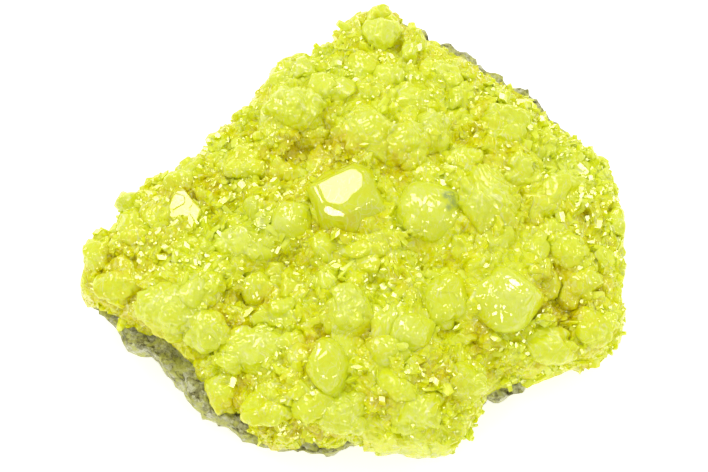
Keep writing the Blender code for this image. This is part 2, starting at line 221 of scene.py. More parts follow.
allLobes = [lobe for lobes in largeCrystals.values() for lobe in lobes]

# Faces of a sulfur crystal: direction, and how near and far from the middle they lie
faceKinds = [
    ((1.23, 1.0, 0.53), 0.76, 0.9), ((0.0, 0.0, 1.0), 0.72, 0.9), ((0.0, 1.0, 0.53), 0.84, 0.96),
    ((1.23, 1.0, 1.58), 0.8, 0.95),
]


def crystalFaces(rng, kinds):
    faces = []
    for kind, nearest, farthest in faceKinds[:kinds]:
        signs = {(sx * (kind[0] > 0), sy * (kind[1] > 0), sz) for sx in (-1, 1) for sy in (-1, 1) for sz in (-1, 1)}
        for sx, sy, sz in sorted(signs):
            direction = Vector((sx * kind[0], sy * kind[1], sz * kind[2])).normalized()
            faces.append((direction, rng.uniform(nearest, farthest)))
    return faces


def crowded(x, y, size):
    larger = allLobes + crustCrystals
    return any(math.hypot(x - lobe[0], y - lobe[1]) < 0.5 * (lobe[3] + lobe[4]) + 0.1 * size for lobe in larger)


def smallLobes():
    rng = random.Random(smallCrystals["seed"])
    spacing = smallCrystals["spacing"]
    found = []
    steps = int(smallCrystals["reach"] / spacing)
    for row in range(-steps, steps + 1):
        for column in range(-steps, steps + 1):
            x = (column + 0.5 * (row % 2) + rng.uniform(-0.22, 0.22)) * spacing
            y = (row * 0.87 + rng.uniform(-0.22, 0.22)) * spacing
            size, turn, lean = rng.uniform(*smallCrystals["size"]), rng.uniform(0, 360), rng.uniform(-22, 22)
            inside = math.hypot(x, y) < crustReach(math.atan2(y, x)) - 1.05 * size
            if inside and not crowded(x, y, size):
                sides = (size, size * rng.uniform(0.75, 1.1), size)
                found.append((x, y, smallCrystals["lift"], *sides, turn, lean, len(found) + 300))
    return found


toWorld = Matrix.Scale(mm, 4) @ Matrix.Translation((-plate["offCenter"][0], -plate["offCenter"][1], 0))
sulfurPieces = []


def finishPiece(bm, name, slot, smooth=True, tints=None, nodes=()):
    bm.transform(toWorld)
    mesh = bpy.data.meshes.new(name)
    bm.to_mesh(mesh)
    bm.free()
    if smooth:
        mesh.shade_smooth()
    else:
        mesh.shade_flat()
    tint = mesh.attributes.new("tint", "FLOAT", "POINT")
    tint.data.foreach_set("value", tints if tints else [0.5] * len(mesh.vertices))
    piece = bpy.data.objects.new(name, mesh)
    bpy.context.scene.collection.objects.link(piece)
    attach(piece, "root")
    if nodes:
        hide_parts(*nodes)
    if slot != "grey_rock":
        sulfurPieces.append(piece)
    print("made", name, len(mesh.polygons), "faces")
    return piece


def facetHeight(point, size):
    cell = noise.voronoi(point / size)[1][0]
    tilt = noise.cell_vector(cell * 37.7) - Vector((0.5, 0.5, 0.5))
    return tilt.dot(point / size - cell) * 1.3 + 0.5 * noise.cell(cell * 53.3)


def roughen(bm, layers):
    bm.normal_update()
    moves = []
    for vertex in bm.verts:
        move = 0.0
        for layer in layers:
            if layer["form"] == "facets":
                move += layer["height"] * facetHeight(vertex.co, layer["size"])
            elif layer["form"] == "cobbles":
                away = noise.voronoi(vertex.co / layer["size"])[0]
                move += layer["height"] * (min(1.0, 2.5 * (away[1] - away[0])) - 0.5)
            elif layer["form"] == "ridges":
                bend = 2 * noise.noise(vertex.co / 5)
                wave = (vertex.co.x * 0.6 + vertex.co.y * 0.8) / layer["size"] + bend
                move += layer["height"] * (abs(2 * (wave - math.floor(wave)) - 1) - 0.5)
            else:
                move += layer["height"] * noise.fractal(vertex.co / layer["size"], 0.7, 2.1, 4)
        moves.append(vertex.normal * move)
    for vertex, move in zip(bm.verts, moves):
        vertex.co += move


def plateMesh(inset, levels, belowSeam, fill=0.0):
    bm = bmesh.new()
    bmesh.ops.create_icosphere(bm, subdivisions=levels, radius=1.0)
    for vertex in bm.verts:
        sx, sy, sz = vertex.co.normalized()
        angle = math.atan2(sy, sx)
        share = math.sqrt(1 - abs(sz))
        reach = share * (rim(angle) - around(angle, edgeAngles, inset))
        x, y = reach * math.cos(angle), reach * math.sin(angle)
        side = max(0.0, 1 - share ** plate["sidePower"]) ** (1 / plate["sidePower"])
        end = crustTop(x, y) + fill + (skirt(x, y) if fill else 0) if sz > 0 else underside(x, y, share)
        grain = 0.35 * noise.noise(Vector((x, y, 8 * sz)) / 2.2)
        z = plate["widestAt"] + (end - plate["widestAt"]) * side + grain
        limit = seam(x, y)
        z = min(z, limit - 0.1) if belowSeam else max(z, limit + 0.1)
        vertex.co = (x, y, z)
    return bm


# The rock
rockLook = {
    "levels": 7,
    "layers": [
        {"form": "facets", "size": 3.4, "height": 0.7},
        {"form": "facets", "size": 1.3, "height": 0.3},
        {"form": "grain", "size": 1.6, "height": 0.3},
        {"form": "grain", "size": 0.5, "height": 0.14},
    ],
}


def makeRock():
    bm = plateMesh(rockInset, rockLook["levels"], True)
    roughen(bm, rockLook["layers"])
    for vertex in bm.verts:
        vertex.co.z = max(vertex.co.z, 0.0)
    return finishPiece(bm, "matrixRock", "grey_rock", nodes=["matrix_rock"])


# The crust under the crystals
crustLook = {
    "levels": 7,
    "fill": 1.9,
    "skirt": 0.7,
    "layers": [
        {"form": "facets", "size": 3.2, "height": 1.3},
        {"form": "facets", "size": 1.5, "height": 0.55},
        {"form": "grain", "size": 1.0, "height": 0.15},
    ],
}


def makeCrust():
    bm = plateMesh(crustInset, crustLook["levels"], False, crustLook["fill"])
    roughen(bm, crustLook["layers"])
    return finishPiece(bm, "sulfurCrust", "sulfur", smooth=False, nodes=["sulfur_crust"])


joinPower, cutPower = 40, 60  # how tight the creases between blocks and round a cut face are


# A crystal is blocks grown into one another, with flat faces that meet in edges worn round.
# Each block is a soft polyhedron, and sharpness says how tight its edges are.
def grownCrystal(rng, levels, faces, growth, cuts):
    bm = bmesh.new()
    bmesh.ops.create_icosphere(bm, subdivisions=levels, radius=1.0)
    rays = np.array([vertex.co.normalized() for vertex in bm.verts])
    sharp = rng.uniform(*growth["sharpness"])
    reach = np.zeros(len(rays))
    for block in range(growth["blocks"] + 1):
        scale, offset, tilt = growth["core"], Vector(), Matrix.Identity(3)
        if block:
            scale = rng.uniform(*growth["blockSize"])
            way = Vector((rng.gauss(0, 1), rng.gauss(0, 1), rng.gauss(0.35, 0.7))).normalized()  # mostly upwards
            offset = way * (rng.uniform(*growth["blockReach"]) - 0.85 * scale)
            tilt = Euler([math.radians(rng.gauss(0, growth["tilt"])) for _ in range(3)]).to_matrix()
        own = [(tilt @ direction, distance * scale * rng.uniform(0.92, 1.06)) for direction, distance in faces]
        normals = np.array([direction for direction, distance in own])
        limits = np.array([max(0.06, distance + direction.dot(offset)) for direction, distance in own])
        press = np.maximum(rays @ normals.T, 0) / limits
        radii = (press**sharp).sum(1) ** (-1 / sharp)
        reach = (reach**joinPower + radii**joinPower) ** (1 / joinPower)
    for direction, distance in cuts:
        press = np.maximum(rays @ np.array(direction), 0) / distance
        reach = (reach**-cutPower + press**cutPower) ** (-1 / cutPower)
    for vertex, ray, radius in zip(bm.verts, rays, reach):
        vertex.co = Vector(ray) * radius
    return bm


def lobeMatrix(lobe):
    x, y, lift, *sides, turn, lean, seed = lobe
    turned = Euler((math.radians(lean), math.radians(0.6 * lean), math.radians(turn))).to_matrix().to_4x4()
    return Matrix.Translation((x, y, crustSurface(x, y) + lift)) @ turned @ Matrix.Diagonal((*sides, 1))


def addMesh(bm, mesh, matrix, tint, tints):
    copied = mesh.copy()
    copied.transform(matrix)
    bm.from_mesh(copied)
    tints.extend([tint] * len(copied.vertices))
    bpy.data.meshes.remove(copied)


def cutFlat(bm, point, normal):
    whole = bm.verts[:] + bm.edges[:] + bm.faces[:]
    cut = bmesh.ops.bisect_plane(bm, geom=whole, plane_co=point, plane_no=normal, clear_outer=True)
    border = [part for part in cut["geom_cut"] if isinstance(part, bmesh.types.BMEdge)]
    bmesh.ops.contextual_create(bm, geom=border)


# The part of a crystal that the crust hides is cut off
def cutBelow(bm, depth):
    cutFlat(bm, (0, 0, depth), (0, 0, -1))
    bmesh.ops.triangulate(bm, faces=[face for face in bm.faces if len(face.verts) > 4])


largeLook = {
    "levels": 6,
    "smooth": {
        "glints": 2, "sharpness": (7, 11), "core": 1.04, "blocks": 7, "blockSize": (0.25, 0.6),
        "blockReach": (0.95, 1.08), "tilt": 6,
        "layers": [{"form": "facets", "size": 2.4, "height": 0.1}],
    },
    "knobby": {
        "glints": 3, "sharpness": (16, 30), "core": 0.96, "blocks": 18, "blockSize": (0.16, 0.5),
        "blockReach": (0.9, 1.14), "tilt": 9,
        "layers": [
            {"form": "cobbles", "size": 2.4, "height": 0.22}, {"form": "facets", "size": 1.7, "height": 0.14},
            {"form": "facets", "size": 0.8, "height": 0.07},
        ],
    },
    "ridged": {
        "glints": 3, "sharpness": (16, 30), "core": 1.0, "blocks": 14, "blockSize": (0.2, 0.65),
        "blockReach": (0.92, 1.12), "tilt": 5,
        "layers": [{"form": "ridges", "size": 1.7, "height": 0.3}, {"form": "facets", "size": 1.3, "height": 0.1}],
    },
    "clear": {
        "glints": 0, "sharpness": (26, 30), "core": 1.04, "blocks": 3, "blockSize": (0.3, 0.5),
        "blockReach": (0.9, 0.98), "tilt": 5,
        "layers": [],
    },
    "plate": {
        "glints": 0, "sharpness": (30, 40), "core": 1.0, "blocks": 0, "blockSize": (0.3, 0.5),
        "blockReach": (0.9, 1.0), "tilt": 5,
        "layers": [{"form": "facets", "size": 3.0, "height": 0.05}],
    },
    "habits": {
        "crystal_center": "clear", "crystal_right_of_center": "smooth", "crystal_lower_right": "smooth",
        "crystal_beside_lower_right": "smooth", "crystal_lower_middle": "smooth", "crystal_right": "ridged",
        "crystal_upper_right": "ridged", "crystal_left_plate": "plate", "crystal_lower_blocks": "smooth",
        "crystal_left_of_center": "smooth",
    },
    # flat faces that show a light to the camera, and how far out they lie
    "bright": {
        "crystal_center": [("key", 0.72), ("front", 0.84), ("left", 0.86), ("corner", 0.92)],
        "crystal_left_plate": [("key", 0.5)],
        "crystal_right_of_center": [("left", 0.93), ("front", 0.93)],
        "crystal_lower_right": [("corner", 0.96)],
        "crystal_beside_lower_right": [("left", 0.9)],
    },
}
mediumLook = {
    "levels": 5, "glints": 4, "sharpness": (22, 50), "core": 0.88, "blocks": 14, "blockSize": (0.18, 0.6),
    "blockReach": (0.85, 1.15), "tilt": 16,
    "layers": [{"form": "facets", "size": 1.8, "height": 0.16}, {"form": "facets", "size": 0.9, "height": 0.07}],
}
smallLook = {
    "levels": 4, "glints": 4, "sharpness": (26, 70), "core": 0.7, "blocks": 13, "blockSize": (0.2, 0.65),
    "blockReach": (0.75, 1.25), "tilt": 30,
    "layers": [{"form": "facets", "size": 1.8, "height": 0.2}, {"form": "facets", "size": 0.8, "height": 0.08}],
}
gapLook = {
    "count": 60, "seed": 8, "field": (41, 37), "size": (1.5, 3.0), "lift": 0.6,
    "levels": 4, "glints": 3, "sharpness": (30, 60), "core": 0.7, "blocks": 8, "blockSize": (0.3, 0.75),
    "blockReach": (0.75, 1.25), "tilt": 40,
    "layers": [{"form": "facets", "size": 1.0, "height": 0.12}],
}


glintReach = (0.78, 0.93)  # how far out the faces that catch a light lie
hiddenShare = 0.45  # how much of its half height a crystal keeps below its middle


def addLobe(bm, lobe, levels, look, tints, kinds=4, bright=()):
    rng = random.Random(lobe[-1])
    tint = rng.random()
    matrix = lobeMatrix(lobe)
    back = matrix.to_3x3().transposed()
    middle = toWorld @ matrix.translation
    aim = random.Random(lobe[-1] + 5000)
    glints = [(aim.choice(sorted(lampPlaces)), aim.uniform(*glintReach)) for _ in range(look["glints"])]
    cuts = [((back @ mirrorWay(middle, lamp)).normalized(), distance) for lamp, distance in [*bright, *glints]]
    part = grownCrystal(rng, levels, crystalFaces(rng, kinds), look, cuts)
    part.transform(matrix)
    roughen(part, look["layers"])
    cutBelow(part, matrix.translation.z - hiddenShare * lobe[5])
    mesh = bpy.data.meshes.new("copy")
    part.to_mesh(mesh)
    part.free()
    bm.from_mesh(mesh)
    tints.extend([tint] * len(mesh.vertices))
    bpy.data.meshes.remove(mesh)


def gapLobes():
    rng = random.Random(gapLook["seed"])
    found = []
    while len(found) < gapLook["count"]:
        x, y = (rng.uniform(-half, half) for half in gapLook["field"])
        size = rng.uniform(*gapLook["size"])
        hidden = any(
            math.hypot(x - lobe[0], y - lobe[1]) < 0.6 * min(lobe[3:5]) for lobe in allLobes + crustCrystals
        )
        if math.hypot(x, y) < crustReach(math.atan2(y, x)) - 0.9 * size and not hidden:
            sides = [size * rng.uniform(0.7, 1.3) for _ in range(3)]
            turn, lean = rng.uniform(0, 360), rng.gauss(0, 35)
            found.append((x, y, gapLook["lift"], *sides, turn, lean, 700 + len(found)))
    return found


def makeLargeCrystals():
    for name, lobes in largeCrystals.items():
        bm, tints = bmesh.new(), []
        look = largeLook[largeLook["habits"].get(name, "knobby")]
        for lobe in lobes:
            addLobe(bm, lobe, largeLook["levels"], look, tints, bright=largeLook["bright"].get(name, ()))
        words = name.split("_")
        title = words[0] + "".join(word.title() for word in words[1:])
        finishPiece(bm, title, "pale_sulfur", tints=tints, nodes=[name])


def makeCrustCrystals():
    for name, lobes, look, kinds in (
        ("crustCrystals", crustCrystals, mediumLook, 4), ("smallCrystals", smallLobes(), smallLook, 3),
        ("gapCrystals", gapLobes(), gapLook, 2),
    ):
        bm, tints = bmesh.new(), []
        for lobe in lobes:
            addLobe(bm, lobe, look["levels"], look, tints, kinds)
        finishPiece(bm, name, "sulfur", tints=tints)


# Sharp little crystals over everything
sprinkle = {
    "seed": 5,
    "shapes": 10,
    "groups": [
        {"name": "chunkyGrains", "count": 160, "size": (0.7, 1.5), "bevel": 0.05, "sunk": 0.3, "glinting": 0.15},
        {"name": "fineGrains", "count": 1100, "size": (0.4, 0.9), "bevel": 0.0, "sunk": 0.2, "glinting": 0.4},
        {"name": "sugarGrains", "count": 3400, "size": (0.2, 0.5), "bevel": 0.0, "sunk": 0.1, "glinting": 0.5},
    ],
    "wobble": 1.5,
    "lowestTilt": -0.25,
    "everywhere": 0.25,
    # where they gather: x, y, reach, strength
    "zones": [
        (-27, -5, 7, 3.0), (-33, -2, 5, 2.0), (31, 14, 5, 4.0), (36, 5, 5, 2.5), (38, -4, 4, 2.5), (36, -16, 6, 2.0),
        (26, -22, 6, 1.5), (14, -33, 6, 2.5), (-14, -22, 5, 2.5), (2, 26, 7, 1.5), (22, 22, 6, 2.0), (-8, 5, 5, 1.5),
        (8, -13, 4, 2.0), (-4, -10, 5, 1.5), (8, -27, 5, 1.5), (-20, 8, 6, 1.5), (-7, -33, 7, 1.5), (-12, -3, 5, 1.5),
        (0, 6, 3, 2.0), (14, 4, 5, 1.0),
    ],
}


def sharpCrystal(seed, bevel, kinds):
    rng = random.Random(seed)
    bm = bmesh.new()
    bmesh.ops.create_cube(bm, size=2.2)
    for direction, distance in crystalFaces(rng, kinds):
        cutFlat(bm, direction * (distance * rng.uniform(0.75, 1.1)), direction)
    bmesh.ops.remove_doubles(bm, verts=bm.verts, dist=0.05)
    if bevel:
        bmesh.ops.bevel(
            bm, geom=bm.edges[:], offset=bevel, offset_type="OFFSET", affect="EDGES", segments=1, profile=0.5,
            material=-1, clamp_overlap=True,
        )
    bmesh.ops.recalc_face_normals(bm, faces=bm.faces)
    mesh = bpy.data.meshes.new("shape")
    bm.to_mesh(mesh)
    bm.free()
    return mesh


def makeSprinkle(crust):
    rng = random.Random(sprinkle["seed"])
    fromWorld = toWorld.inverted()
    mesh = crust.data
    areas = np.zeros(len(mesh.polygons))
    mesh.polygons.foreach_get("area", areas)
    centers, normals = np.zeros(len(areas) * 3), np.zeros(len(areas) * 3)
    mesh.polygons.foreach_get("center", centers)
    mesh.polygons.foreach_get("normal", normals)
    centers, normals = centers.reshape(-1, 3), normals.reshape(-1, 3)
    areas[normals[:, 2] < sprinkle["lowestTilt"]] = 0
    own = centers / mm + np.array([plate["offCenter"][0], plate["offCenter"][1], 0])
    areas *= sprinkle["everywhere"] + sum(
        strength * np.exp(-((own[:, 0] - x) ** 2 + (own[:, 1] - y) ** 2) / reach**2)
        for x, y, reach, strength in sprinkle["zones"]
    )
    chances = np.cumsum(areas) / areas.sum()
    low, high = cadBox
    lamps = sorted(lampPlaces)
    for group in sprinkle["groups"]:
        kinds = 3 if group["bevel"] else 2
        shapes = [sharpCrystal(70 + n, group["bevel"], kinds) for n in range(sprinkle["shapes"])]
        bm, tints = bmesh.new(), []
        for grain in range(group["count"]):
            face = int(np.searchsorted(chances, rng.random()))
            size = group["size"][0] + (group["size"][1] - group["size"][0]) * rng.random() ** 2
            center = Vector(centers[face])
            turn = Euler([rng.uniform(0, 2 * math.pi) for _ in range(3)]).to_matrix()
            sides = Vector((size * rng.uniform(0.3, 0.8), size * rng.uniform(0.6, 1.1), size * rng.uniform(0.9, 2.5)))
            shape = shapes[rng.randrange(len(shapes))]
            reach = 1.5 * size * mm
            if any(center[n] - reach < low[n] or center[n] + reach > high[n] for n in range(3)):
                continue
            if rng.random() < group["glinting"]:  # turned so that one face catches a light
                flat = max(shape.polygons, key=lambda face: face.area).normal
                flat = turn @ Vector([flat[n] / sides[n] for n in range(3)]).normalized()
                mirror = mirrorWay(center, lamps[rng.randrange(len(lamps))])
                wobble = Euler([math.radians(rng.gauss(0, sprinkle["wobble"])) for _ in range(3)]).to_matrix()
                turn = wobble @ flat.rotation_difference(mirror).to_matrix() @ turn
            place = fromWorld @ center - Vector(normals[face]) * group["sunk"] * size
            matrix = Matrix.Translation(place) @ turn.to_4x4() @ Matrix.Diagonal((*sides, 1))
            addMesh(bm, shape, matrix, rng.random(), tints)
        finishPiece(bm, group["name"], "sulfur", smooth=False, tints=tints)


# How far each point stands over its surroundings: painted shade darkens the hollows, and painted light makes the tops
# paler
paintedShadeAndFleckLook = {
    "cell": 0.5,
    "blur": 5,  # in cells
    "border": 8,
    "span": 3.2,
    "side": 10.0,  # below this height the sides keep at least sideRise, which limits their painted shade
    "sideRise": 0.42,
    # places given painted shade (below zero) and painted light (above zero): x, y, reach, strength
    "zones": [
        (-2.6, 7.8, 3.5, -0.6), (-10.2, 0.8, 3.0, -0.4), (6.5, 5.4, 2.5, -0.5), (-8.0, 10.0, 2.5, -0.4),
        (30.0, -13.0, 4.5, -0.6), (-18.6, -18.5, 3.5, -0.5), (-7.2, -22.0, 2.5, -0.5), (2.0, -21.5, 2.5, -0.6),
        (12.0, -27.0, 3.5, -0.5), (4.5, -31.0, 2.5, -0.5), (19.0, -19.5, 2.5, -0.4), (6.6, -13.2, 2.5, -0.3),
        (31.5, 2.5, 4.0, -0.3), (-34.0, -9.0, 6.0, -0.3), (-15.6, -31.0, 6.0, -0.25), (35.0, -18.0, 6.0, -0.25),
        (-24.0, 2.5, 5.0, -0.25), (-29.0, -3.0, 6.0, -0.3), (-32.0, -9.0, 6.0, -0.2), (23.0, 8.0, 3.0, -0.2),
        (-12.5, -13.0, 3.5, -0.3),
        (-15.6, -5.7, 6.0, 0.25), (-25.5, -16.0, 5.0, 0.2), (-13.0, -21.0, 3.5, 0.35), (6.6, -20.0, 4.0, 0.2),
        (-0.3, -14.5, 4.0, 0.15), (10.9, -1.3, 5.0, 0.2), (22.0, -14.5, 5.0, 0.15), (20.0, 1.0, 4.0, 0.15),
        (5.0, 10.0, 7.0, 0.1), (34.0, 10.0, 4.0, 0.2),
    ],
    # dark green flecks inside the dome
    "flecks": [(14.6, 0.2, 0.9), (13.8, -0.4, 0.5), (15.0, -1.2, 0.7), (14.2, -2.2, 0.5)],
}


def writePaintedShadeAndFlecks():
    clouds = []
    for piece in sulfurPieces:
        points = np.zeros(len(piece.data.vertices) * 3)
        piece.data.vertices.foreach_get("co", points)
        clouds.append(points.reshape(-1, 3) / mm)
    every = np.concatenate(clouds)
    low = every[:, :2].min(0) - paintedShadeAndFleckLook["border"]
    shape = np.ceil((every[:, :2].max(0) + paintedShadeAndFleckLook["border"] - low) / paintedShadeAndFleckLook["cell"]).astype(int) + 1
    ground = np.full(shape, -1.0)
    cells = ((every[:, :2] - low) / paintedShadeAndFleckLook["cell"]).astype(int)
    np.maximum.at(ground, (cells[:, 0], cells[:, 1]), every[:, 2])
    known = (ground > 0).astype(float)
    ground = np.maximum(ground, 0)
    reach = np.arange(-3 * paintedShadeAndFleckLook["blur"], 3 * paintedShadeAndFleckLook["blur"] + 1)
    weights = np.exp(-(reach**2) / (2 * paintedShadeAndFleckLook["blur"] ** 2))
    for axis in (0, 1):
        ground = np.apply_along_axis(lambda line: np.convolve(line, weights, "same"), axis, ground)
        known = np.apply_along_axis(lambda line: np.convolve(line, weights, "same"), axis, known)
    level = ground / np.maximum(known, 1e-6)
    for piece, points in zip(sulfurPieces, clouds):
        cells = ((points[:, :2] - low) / paintedShadeAndFleckLook["cell"]).astype(int)
        rise = 0.5 + (points[:, 2] - level[cells[:, 0], cells[:, 1]]) / (2 * paintedShadeAndFleckLook["span"])
        rise = np.where(points[:, 2] < paintedShadeAndFleckLook["side"], np.maximum(rise, paintedShadeAndFleckLook["sideRise"]), rise)
        x, y = points[:, 0] + plate["offCenter"][0], points[:, 1] + plate["offCenter"][1]
        for zoneX, zoneY, reach, strength in paintedShadeAndFleckLook["zones"]:
            rise += strength * np.exp(-((x - zoneX) ** 2 + (y - zoneY) ** 2) / reach**2)
        if piece.name == "crystalRightOfCenter":
            fleck = sum(
                np.exp(-((x - fleckX) ** 2 + (y - fleckY) ** 2) / size**2)
                for fleckX, fleckY, size in paintedShadeAndFleckLook["flecks"]
            )
            attribute = piece.data.attributes.new("fleck", "FLOAT", "POINT")
            attribute.data.foreach_set("value", np.clip(fleck, 0, 1).astype(np.float32))
        attribute = piece.data.attributes.new("rise", "FLOAT", "POINT")
        attribute.data.foreach_set("value", np.clip(rise, 0, 1).astype(np.float32))


# Shader maths: sizes of patterns are in millimetres
inMetre = 1000  # millimetres


class Value:
    def __init__(self, maker, socket):
        self.maker, self.socket = maker, socket

    def work(self, operation, first, second):
        return self.maker.node("ShaderNodeMath", {"operation": operation}, {0: first, 1: second})

    def __add__(self, other):
        return self.work("ADD", self, other)

    def __radd__(self, other):
        return self.work("ADD", other, self)

    def __sub__(self, other):
        return self.work("SUBTRACT", self, other)

    def __rsub__(self, other):
        return self.work("SUBTRACT", other, self)

    def __mul__(self, other):
        return self.work("MULTIPLY", self, other)

    def __rmul__(self, other):
        return self.work("MULTIPLY", other, self)


class Maker:
    def __init__(self, name):
        self.material = bpy.data.materials.new(name)
        self.material.use_nodes = True
        self.tree = self.material.node_tree
        self.shader = self.tree.nodes["Principled BSDF"]
        self.output = self.tree.nodes["Material Output"]

    def node(self, kind, settings=None, inputs=None, output=0):
        made = self.tree.nodes.new(kind)
        for key, setting in (settings or {}).items():
            if key == "stops":
                ramp = made.color_ramp
                while len(ramp.elements) < len(setting):
                    ramp.elements.new(0.5)
                for element, (position, color) in zip(ramp.elements, setting):
                    element.position, element.color = position, color
            else:
                setattr(made, key, setting)
        self.feed(made, inputs or {})
        return Value(self, made.outputs[output])

    def feed(self, made, inputs):
        for key, value in inputs.items():
            if isinstance(value, Value):
                self.tree.links.new(value.socket, made.inputs[key])
            else:
                made.inputs[key].default_value = value

    def place(self):
        return self.node("ShaderNodeTexCoord", output="Object")

    def grain(self, size, detail=3.0, roughness=0.55, distortion=0.0):
        return self.node("ShaderNodeTexNoise", {}, {
            "Vector": self.place(), "Scale": inMetre / size, "Detail": detail, "Roughness": roughness,
            "Distortion": distortion,
        })

    def ramp(self, value, stops):
        return self.node("ShaderNodeValToRGB", {"stops": stops}, {0: value})

    def window(self, value, low, high):
        return self.node("ShaderNodeMapRange", {"clamp": True, "interpolation_type": "SMOOTHSTEP"}, {
            "Value": value, "From Min": low, "From Max": high, "To Min": 0.0, "To Max": 1.0,
        })

    def mix(self, factor, first, second):
        return self.node("ShaderNodeMix", {"data_type": "RGBA"}, {0: factor, 6: first, 7: second}, output=2)

    def bent(self, size, reach):
        inputs = {"Vector": self.place(), "Scale": inMetre / size, "Detail": 0.0}
        wander = self.node("ShaderNodeTexNoise", {}, inputs, output="Color")
        shift = self.node("ShaderNodeVectorMath", {"operation": "SCALE"}, {0: wander, "Scale": reach * mm})
        return self.node("ShaderNodeVectorMath", {"operation": "ADD"}, {0: self.place(), 1: shift})

    # Small flat facets, or long curved ones where turn is given
    def facets(self, size, turn=None):
        if turn is None:
            place = self.bent(size * 2, size * 0.5)
        else:
            place = self.node("ShaderNodeMapping", {}, {
                "Vector": self.bent(size * 8, size * 9), "Rotation": (0.3, 0.2, math.radians(turn)),
                "Scale": (1.0, 0.22, 0.6),
            })
        inputs = {"Vector": place, "Scale": inMetre / size}
        spot = self.node("ShaderNodeTexVoronoi", {}, inputs, output="Position")
        color = Value(self, spot.socket.node.outputs["Color"])
        away = self.node("ShaderNodeVectorMath", {"operation": "SUBTRACT"}, {0: place, 1: spot})
        tilt = self.node("ShaderNodeVectorMath", {"operation": "SUBTRACT"}, {0: color, 1: (0.5, 0.5, 0.5)})
        lean = self.node("ShaderNodeVectorMath", {"operation": "DOT_PRODUCT"}, {0: away, 1: tilt}, output="Value")
        return lean * (inMetre / size)

    def cells(self, size):
        inputs = {"Vector": self.bent(size * 2, size * 0.8), "Scale": inMetre / size}
        color = self.node("ShaderNodeTexVoronoi", {}, inputs, output="Color")
        return self.node("ShaderNodeSeparateColor", {}, {0: color})

    def edges(self, size, width):
        inputs = {"Vector": self.bent(size * 1.5, size * 1.2), "Scale": inMetre / size}
        away = self.node("ShaderNodeTexVoronoi", {"feature": "DISTANCE_TO_EDGE"}, inputs)
        return 1 - self.window(away, 0.3 * width / size, width / size)

    # Long curved wisps
    def fibers(self, size, turn):
        place = self.node("ShaderNodeMapping", {}, {
            "Vector": self.bent(size * 7, size * 9), "Rotation": (0.2, 0.3, math.radians(turn)),
            "Scale": (1.0, 0.16, 0.5),
        })
        return self.node("ShaderNodeTexNoise", {}, {
            "Vector": place, "Scale": inMetre / size, "Detail": 2.0, "Roughness": 0.6,
        })

    def attribute(self, name):
        return self.node("ShaderNodeAttribute", {"attribute_name": name}, output="Fac")


# busy says how much fine relief a kind has, and pale how far its colour moves along the ramp of painted shade and
# tone
sulfurLook = {
    "crust": {"transmission": 0.0, "roughness": (0.05, 0.2), "bump": 0.7, "pale": -0.08, "busy": 1.0},
    "crystals": {"transmission": 0.04, "roughness": (0.03, 0.1), "bump": 0.5, "pale": 0.05, "busy": 0.4},
    "gems": {"transmission": 0.1, "roughness": (0.02, 0.05), "bump": 0.22, "pale": 0.06, "busy": 0.15},
    "clear": {"transmission": 0.15, "roughness": (0.02, 0.04), "bump": 0.06, "pale": 0.04, "busy": 0.1},
    "grains": {"transmission": 0.0, "roughness": (0.12, 0.16), "bump": 0.02, "pale": 0.1, "busy": 0.6},
    # colours from dark gold for painted shade in the hollows up to pale for painted light on the tops
    "shadeAndToneStops": [
        (0.0, (0.72, 0.60, 0.0, 1)), (0.2, (0.84, 0.81, 0.0, 1)), (0.4, (0.84, 0.90, 0.006, 1)),
        (0.62, (0.83, 0.925, 0.035, 1)), (0.95, (0.87, 0.955, 0.16, 1)),
    ],
    # pale colour of the milky patches, also used for the painted edge highlights
    "pale": (0.94, 0.99, 0.34, 1),
    "wispPale": (0.98, 1.0, 0.42, 1),
    "wispDark": (0.78, 0.82, 0.0, 1),
    "ior": 1.85,
    "subsurface": 0.3,
    "scatterRadius": (1.0, 0.95, 0.15),
    "scatterScale": 0.0007,
    "bumpDepth": 0.0008,
    "fleck": (0.28, 0.38, 0.12, 1),
    "absorption": {"color": (0.97, 0.95, 0.08, 1), "density": 120.0},
    "specularTint": (1.0, 1.0, 0.7, 1),
}


